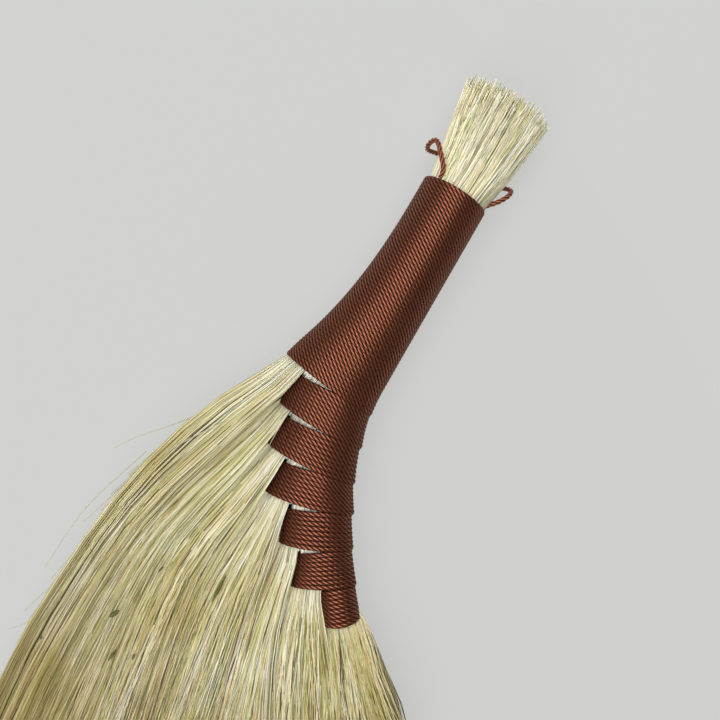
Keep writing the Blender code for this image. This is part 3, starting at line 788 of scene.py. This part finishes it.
def seed_husk(add):
    """Dry seed husk: dark olive brown, papery and dull."""
    place = (add("ShaderNodeTexCoord"), "Object")
    grain = add(NOISE, {"Vector": place, "Scale": 1 / HUSK_GRAIN, "Detail": 3.0})
    colour = add(MIX, {
        "Factor_Float": (grain, "Fac"), "A_Color": linear("34361F"), "B_Color": linear("787B40"),
    }, data_type="RGBA")
    return add("ShaderNodeBsdfPrincipled", {"Base Color": colour, "Roughness": 0.8})


def matt_floor(add, colours):
    """Plain pale matt floor, bright enough by itself that it keeps only a faint shadow."""
    shader = add("ShaderNodeBsdfPrincipled", {"Base Color": colours.floor[:], "Roughness": 0.9})
    seen = add("ShaderNodeLightPath")
    direct = add(MATH, (seen, "Is Camera Ray"), (seen, "Is Glossy Ray"), operation="MAXIMUM")
    shown = add(MATH, direct, (seen, "Is Transmission Ray"), operation="MAXIMUM")
    share = add(MATH, shown, FLOOR_GLOW_SHARE, operation="MULTIPLY")
    glow = add("ShaderNodeEmission", {"Color": colours.floor[:], "Strength": FLOOR_GLOW})
    return add("ShaderNodeMixShader", share, shader, glow)


def last_turn_drop(band, open_share):
    """How far the lower edge of a band's last turn lies below its end section."""
    level, slope, bow = LAST_TURN_DROPS[band]
    return (level + slope * open_share + bow * open_share ** 2) * MM


def first_turn_drop(band, open_share):
    """How far the upper edge of a band's first turn lies below its section, past the slit."""
    if band == 0:
        return FIRST_TURN_DROP * MM
    closed_share, width = SLITS[band - 1]
    slit = width * MM * max(open_share - closed_share, 0) ** SLIT_POWER / (1 - closed_share) ** SLIT_POWER
    cut = section(band, 0)
    base = cut.at(1 - 2 * open_share, 0, 0)
    above = section(band - 1, 1)
    share_above = (1 - above.share_of(base, 0)) / 2
    edge = above.at(1 - 2 * share_above, 0, 0, last_turn_drop(band - 1, share_above))
    return slit + (edge - base).dot(cut.down)


def winding_point(band, share, angle):
    """Centre of the wound cord at an angle round a band, with its turns from the rim to the last band."""
    sizes = bpy.context.scene.brush_sizes
    radius = sizes.cord_thickness / 2
    open_share = (1 - math.cos(angle)) / 2
    first = first_turn_drop(band, open_share) + radius
    last = last_turn_drop(band, open_share) - radius
    cut = section(band, share)
    return cut.at(math.cos(angle), math.sin(angle), radius, mix(first, last, share))


def winding_route(bands):
    """The cord's centre line round these bands, turn against turn, and the way out of the bundle there."""
    turns = [(band, turn / (BAND_TURNS[band] - 1)) for band in bands for turn in range(BAND_TURNS[band])]
    after = bands[-1] + 1
    following = (after, 0.0) if after < BUNDLES else turns[-1]
    route = []
    outward = []
    for (band, share), (next_band, next_share) in zip(turns, turns[1:] + [following]):
        cut = section(band, share)
        for step in range(TURN_STEPS):
            angle = math.tau * step / TURN_STEPS
            # A turn lies square to the bundle over the top and steps on to the next one underneath
            step_on = ease(angle / math.pi - 1)
            point = winding_point(band, share, angle)
            route.append(point.lerp(winding_point(next_band, next_share, angle), step_on))
            upwards = Vector((0, 0, math.sin(angle) / cut.half_thickness))
            outward.append(cut.across * (math.cos(angle) / cut.half_width) + upwards)
    if after < BUNDLES:
        route.append(winding_point(after, 0.0, 0.0))
        outward.append(section(after, 0.0).across.copy())
    return route, outward


def nested_lengths(route, lay):
    """Lengths along a winding, eased underneath so that the plies of its turns nest on top."""
    chance = random.Random(NESTING_SEED)
    lengths = lengths_along(route)
    spacing = lay / PLIES
    tops = list(range(TURN_STEPS // 4, len(route), TURN_STEPS))
    offset = 0.0
    shift = -lengths[tops[0]]
    nested = [length + shift for length in lengths[:tops[0] + 1]]
    for start, end in zip(tops, tops[1:] + [len(route) - 1]):
        offset += spacing * chance.uniform(*NESTING_SLIP)
        lack = (offset - lengths[end] - shift + spacing / 2) % spacing - spacing / 2
        for index in range(start + 1, end + 1):
            share = (lengths[index] - lengths[start]) / (lengths[end] - lengths[start])
            nested.append(lengths[index] + shift + lack * ease((share - NESTING_START) / NESTING_SPAN))
        shift += lack
    return nested


def frame_turns(route, outward):
    """Angle at each point from a frame that follows the route without twist to the way out of the bundle."""
    angles = [0.0]
    tangents = [(other - one).normalized() for one, other in zip(route, route[1:])]
    normal = outward[0] - tangents[0] * outward[0].dot(tangents[0])
    for before, tangent, out in zip(tangents, tangents[1:] + tangents[-1:], outward[1:]):
        normal.rotate(before.rotation_difference(tangent))
        side = out - tangent * out.dot(tangent)
        angle = math.atan2(tangent.dot(normal.cross(side)), normal.dot(side))
        angles.append(angle + math.tau * round((angles[-1] - angle) / math.tau))
    return angles


def flat_point(point, top_share=1.0):
    """A point of a side in metres, with the height share of the fan's top, in thousandths, as its height."""
    return Vector((point[0] * MM, point[1] * MM, top_share * MM))


def fan_side(bundle, side):
    """One side of a fan bundle, 0 at the left or 1 at the right, from its band to the tips."""
    out = [flat_point(point) for point in EXIT_SIDES[bundle][side]]
    line = [flat_point(point, point[2]) for point in FAN_LINES[bundle + side]]
    return even_route(out + line, GUIDE_POINTS)


def guide_rows(guide, columns):
    """Guide paths of a bundle: a row along its underside, then a row along its top."""
    return [guide(column / (columns - 1), way) for way in (-1, 1) for column in range(columns)]


def fan_guides(bundle):
    """Guide paths of one fan bundle: under the cord, out of the band, and flat to the tips."""
    cut = section(bundle, 1)
    left = fan_side(bundle, 0)
    right = fan_side(bundle, 1)
    crown = MID_HEIGHT + cut.half_thickness - FIBRE_INSET / 2
    hidden_share = HIDDEN_RUN / (BINDING_RUN * (BAND_STARTS[bundle + 1] - BAND_STARTS[bundle]))

    def guide(across, way):
        start = left[0].lerp(right[0], across)
        held = min(max(cut.share_of(start, FIBRE_INSET), -SIDE_SHARE), SIDE_SHARE)
        lift = way * math.sqrt(1 - held * held)
        points = [section(bundle, 1 - hidden_share * part).at(held, lift, FIBRE_INSET) for part in (1, 0.5)]
        for index in range(GUIDE_POINTS):
            spot = left[index].lerp(right[index], across)
            flat = crown * spot.z / MM if way > 0 else FLOOR_LIFT
            settle = min(index / (GUIDE_POINTS - 1) / FLATTENING_SHARES[bundle], 1)
            spot.z = mix(MID_HEIGHT + lift * (cut.half_thickness - FIBRE_INSET), flat, settle)
            points.append(spot)
        return points

    return guide_rows(guide, GUIDE_COLUMNS)


def tuft_guides(bundle):
    """Guide paths of one bundle's butt ends, from under the cord to the splayed ends."""
    sides = (TUFT_LEFT, TUFT_RIGHT)
    left, right = (even_route([flat_point(point) for point in side], GUIDE_POINTS) for side in sides)

    def guide(across, way):
        place = (bundle + across) / BUNDLES
        held = min(max(2 * place - 1, -SIDE_SHARE), SIDE_SHARE)
        points = []
        for index in range(GUIDE_POINTS):
            share = index / (GUIDE_POINTS - 1)
            thick = mix(GRIP_TOP_THICKNESS / 2 - TUFT_INSET, TUFT_END_HALF_HEIGHT, share)
            spot = left[index].lerp(right[index], place)
            spot.z = max(MID_HEIGHT + way * thick * math.sqrt(1 - held * held), FLOOR_LIFT)
            points.append(spot)
        return points

    return guide_rows(guide, GUIDE_COLUMNS)


def bound_guides(bundle):
    """Guide paths of one bundle under the binding, from the rim to the band that lets it go."""
    def guide(across, way):
        points = []
        for band in range(bundle + 1):
            for share in GRIP_STATIONS if band == 0 else BAND_STATIONS:
                left, right = slab_edges(band, share, bundle)
                left, right = left - SLAB_OVERLAP, right + SLAB_OVERLAP
                held = mix(math.acos(max(left, -SIDE_SHARE)), math.acos(min(right, SIDE_SHARE)), across)
                points.append(section(band, share).at(math.cos(held), way * math.sin(held), FIBRE_INSET))
        return points

    return guide_rows(guide, BOUND_COLUMNS)


class BRUSH_OT_camera(bpy.types.Operator):
    """Place the camera straight above the brush"""

    bl_idname = "brush.camera"
    bl_label = "Camera"

    def execute(self, context):
        camera = link("Camera", bpy.data.cameras.new("Camera"))
        camera.data.lens, camera.data.sensor_width = CAMERA_LENS, CAMERA_SENSOR
        camera.data.clip_start, camera.data.clip_end = CAMERA_CLIP
        camera.location = RIM_CORNER + Vector(CAMERA_PLACE)
        camera.rotation_euler.z = math.radians(CAMERA_TURN)
        context.scene.camera = camera
        return {"FINISHED"}


class BRUSH_OT_hanging_loop(bpy.types.Operator):
    """Make the hanging loop of twisted cord"""

    bl_idname = "brush.hanging_loop"
    bl_label = "Hanging loop"

    def execute(self, context):
        sizes = context.scene.brush_sizes
        points = smooth_route(LOOP_ROUTE, LOOP_POINTS)
        twists = [math.tau * length / sizes.cord_lay for length in lengths_along(points)]
        path = cord_path("loop_path", points, twists, [Vector()] * len(points))
        radius = sizes.cord_thickness / 2 * sizes.free_width
        piece = piece_from_tree("hanging_cord", cord_tree(), path, {
            "Radius": radius, "Half Height": radius, "Roundness": 1.0, "Step": LOOP_STEP,
            "Plies": PLIES, "Points Per Ply": 6, "Ply Spread": sizes.ply_spread,
            # The free cord's material is a copy of the wound cord's, painted lighter as painted light
            "Material": new_material(
                "Free dyed cord painted lighter", dyed_cord, context.scene.brush_colours, FREE_CORD_PAINTED_LIGHT
            ),
        }, "cord", ["hanging_loop"], CORD_MARKS)
        line = [point + RIM_CORNER for point in points]
        round(lengths_along(line)[-1], 4)
        return {"FINISHED"}


class BRUSH_OT_winding(bpy.types.Operator):
    """Wind the cord round the grip and the six lower bands"""

    bl_idname = "brush.winding"
    bl_label = "Winding"

    def execute(self, context):
        sizes = context.scene.brush_sizes
        tree = cord_tree()
        dyed = new_material("Dyed twisted cord", dyed_cord, context.scene.brush_colours, 1.0)
        jobs = (
            ("grip_winding", (0,), ["binding_band_1", "binding_cord"]),
            ("band_winding", range(1, BUNDLES), [f"binding_band_{band + 1}" for band in range(1, BUNDLES)]),
        )
        for name, bands, nodes in jobs:
            route, outward = winding_route(bands)
            turned = zip(nested_lengths(route, sizes.cord_lay), frame_turns(route, outward))
            twists = [math.tau * length / sizes.cord_lay + angle for length, angle in turned]
            path = cord_path(name + "_path", route, twists, outward)
            piece_from_tree(name, tree, path, {
                "Radius": sizes.cord_thickness / 2 * sizes.pressed_width,
                "Half Height": sizes.cord_thickness / 2, "Roundness": sizes.roundness, "Step": WINDING_STEP,
                "Plies": PLIES, "Points Per Ply": 4, "Ply Spread": sizes.pressed_spread, "Material": dyed,
            }, "cord", nodes, CORD_MARKS)
        return {"FINISHED"}


class BRUSH_OT_fibres(bpy.types.Operator):
    """Lay the fibres of the seven bundles: fan, bound length and butt ends"""

    bl_idname = "brush.fibres"
    bl_label = "Fibres"

    def execute(self, context):
        sizes = context.scene.brush_sizes
        colours = context.scene.brush_colours
        tree = fibre_tree()
        fan, bound, butts = (new_material(name, broom_fibre, colours, *look) for name, *look in FIBRE_LOOKS)
        for bundle in range(BUNDLES):
            number = bundle + 1
            first = bundle == 0
            last = number == BUNDLES
            jobs = (
                ("fan_fibres", fan_guides(bundle), {
                    "Columns": GUIDE_COLUMNS, "Fibres": sizes.fan_fibres, "Points": 13, "Material": fan,
                    "Radius": sizes.fibre_width / 2, "Taper": 0.45, "Trim": 0.1,
                    "Wander": 0.0018, "Waves": 1.8, "Lean": 0.4 if first else 0.75, "Dive": 0.3,
                    "Left Limit": -0.12 if first else -0.6, "Right Limit": 1.12 if last else 1.6,
                    "Crowding": 0.8 if first else 0.45,
                }, "fan_fibre", "fan_bristles", 11),
                ("bound_fibres", bound_guides(bundle), {
                    "Columns": BOUND_COLUMNS, "Fibres": sizes.bound_fibres, "Points": 18, "Material": bound,
                    "Radius": sizes.bound_width / 2, "Waves": 1.0, "Right Limit": 1.0, "Crowding": 0.2,
                }, "bound_fibre", "bundle_core", 900),
                ("butt_ends", tuft_guides(bundle), {
                    "Columns": GUIDE_COLUMNS, "Fibres": sizes.butt_fibres, "Points": 8, "Material": butts,
                    "Radius": sizes.butt_width / 2, "Taper": 0.42, "Trim": 0.14,
                    "Wander": 0.001, "Waves": 1.2, "Lean": 0.7, "Dive": 0.12,
                    "Left Limit": -min(bundle, 0.6) - 0.13, "Right Limit": 1.13 + min(BUNDLES - number, 0.6),
                    "Crowding": 0.8 if first or last else 0.5,
                }, "butt_fibre", "butt_tuft", 1900),
            )
            for name, guides, values, slot, node, seed in jobs:
                path = link(f"{name}_guides", new_curve(f"{name}_guides", guides))
                values |= {"Sides": 3, "Seed": seed + SEED_STEP * bundle}
                nodes = [f"{node}_{number}"]
                piece_from_tree(f"{name}_{number}", tree, path, values, slot, nodes, FIBRE_MARKS)
        return {"FINISHED"}


class BRUSH_OT_lone_hairs(bpy.types.Operator):
    """Add the few single hairs that have come loose"""

    bl_idname = "brush.lone_hairs"
    bl_label = "Lone hairs"

    def execute(self, context):
        chance = random.Random(WISP_SEED)
        edge = fan_side(0, 0)
        hairs = [[Vector(point) * MM for point in hair] for hair in LONE_HAIRS]
        for _ in range(WISPS):
            start = chance.randrange(2, GUIDE_POINTS - 9)
            height = chance.uniform(*WISP_HEIGHTS)
            reach = chance.uniform(*WISP_REACHES)
            hair = []
            for step, out in ((0, -0.5), (3, 0.1), (6, 1.0)):
                along = (edge[start + step + 1] - edge[start + step]).normalized()
                hair.append(edge[start + step] + Vector((along.y, -along.x, 0)) * out * reach)
                hair[-1].z = height
            hairs.append(hair)
        curve = new_curve("lone_hairs", [smooth_route(hair, HAIR_POINTS) for hair in hairs], HAIR_TIP_SHARE)
        curve.bevel_depth = HAIR_RADIUS
        curve.bevel_resolution = 1
        curve.use_fill_caps = True
        curve.materials.append(new_material("Loose broom hair", loose_hair))
        place_piece("lone_hairs", curve, "fan_fibre")
        return {"FINISHED"}


class BRUSH_OT_husks(bpy.types.Operator):
    """Add the seed husks caught between the fibres"""

    bl_idname = "brush.husks"
    bl_label = "Seed husks"

    def execute(self, context):
        body = bmesh.new()
        for place, length, width_share, turn in HUSKS:
            grain = bmesh.ops.create_icosphere(body, subdivisions=2, radius=1.0)["verts"]
            turned = Matrix.Rotation(math.radians(turn), 3, "Z")
            for point in grain:
                width = width_share * length / 2 * (1 - HUSK_TAPER * point.co.y ** 2)
                shaped = Vector((
                    point.co.x * width, point.co.y * length / 2, point.co.z * width * HUSK_FLATNESS,
                ))
                point.co = RIM_CORNER + (Vector(place) + turned @ shaped) * MM
        mesh = bpy.data.meshes.new("seed_husks")
        body.to_mesh(mesh)
        body.free()
        mesh.shade_smooth()
        mesh.materials.append(new_material("Dry seed husk", seed_husk))
        place_piece("seed_husks", mesh, "fan_fibre")
        return {"FINISHED"}


class BRUSH_OT_stage(bpy.types.Operator):
    """Lay the plain floor and set the soft light"""

    bl_idname = "brush.stage"
    bl_label = "Floor and light"

    def execute(self, context):
        mesh = bpy.data.meshes.new("floor")
        corners = [(x * FLOOR_REACH, y * FLOOR_REACH, 0) for x, y in ((-1, -1), (1, -1), (1, 1), (-1, 1))]
        mesh.from_pydata(corners, [], [(0, 1, 2, 3)])
        mesh.materials.append(new_material("Matt floor", matt_floor, context.scene.brush_colours))
        link("floor", mesh)
        for name, place, aim, size, power in LIGHTS:
            lamp = link(name, bpy.data.lights.new(name, "AREA"))
            lamp.data.shape = "RECTANGLE"
            lamp.data.size, lamp.data.size_y = size
            lamp.data.energy = power
            lamp.location = place
            lamp.rotation_euler = (Vector(place) - Vector(aim)).to_track_quat("Z", "Y").to_euler()
        world = bpy.data.worlds.new("Soft light")
        context.scene.world = world
        world.use_nodes = True
        back = world.node_tree.nodes["Background"].inputs
        back["Color"].default_value = (1, 1, 1, 1)
        back["Strength"].default_value = WORLD_LIGHT
        context.scene.view_settings.view_transform = "Standard"
        return {"FINISHED"}


class BRUSH_PT_panel(bpy.types.Panel):
    """Steps that make the brush"""

    bl_idname = "BRUSH_PT_panel"
    bl_label = "Dust Brush"
    bl_space_type = "VIEW_3D"
    bl_region_type = "UI"
    bl_category = "Dust Brush"

    def draw(self, context):
        for group in (context.scene.brush_sizes, context.scene.brush_colours):
            for name in group.bl_rna.properties.keys():
                if name not in ("rna_type", "name"):
                    self.layout.prop(group, name)
        for step in STEPS:
            self.layout.operator(step.bl_idname)


STEPS = (
    BRUSH_OT_camera,
    BRUSH_OT_hanging_loop,
    BRUSH_OT_winding,
    BRUSH_OT_fibres,
    BRUSH_OT_lone_hairs,
    BRUSH_OT_husks,
    BRUSH_OT_stage,
)
CLASSES = (BrushSizes, BrushColours, *STEPS, BRUSH_PT_panel)


def register():
    for item in CLASSES:
        bpy.utils.register_class(item)
    bpy.types.Scene.brush_sizes = PointerProperty(type=BrushSizes)
    bpy.types.Scene.brush_colours = PointerProperty(type=BrushColours)


def unregister():
    del bpy.types.Scene.brush_colours
    del bpy.types.Scene.brush_sizes
    for item in reversed(CLASSES):
        bpy.utils.unregister_class(item)


def main():
    register()
    bpy.ops.brush.camera()
    bpy.ops.brush.hanging_loop()
    bpy.ops.brush.winding()
    bpy.ops.brush.fibres()
    bpy.ops.brush.lone_hairs()
    bpy.ops.brush.husks()
    bpy.ops.brush.stage()


if __name__ == "__main__":
    main()
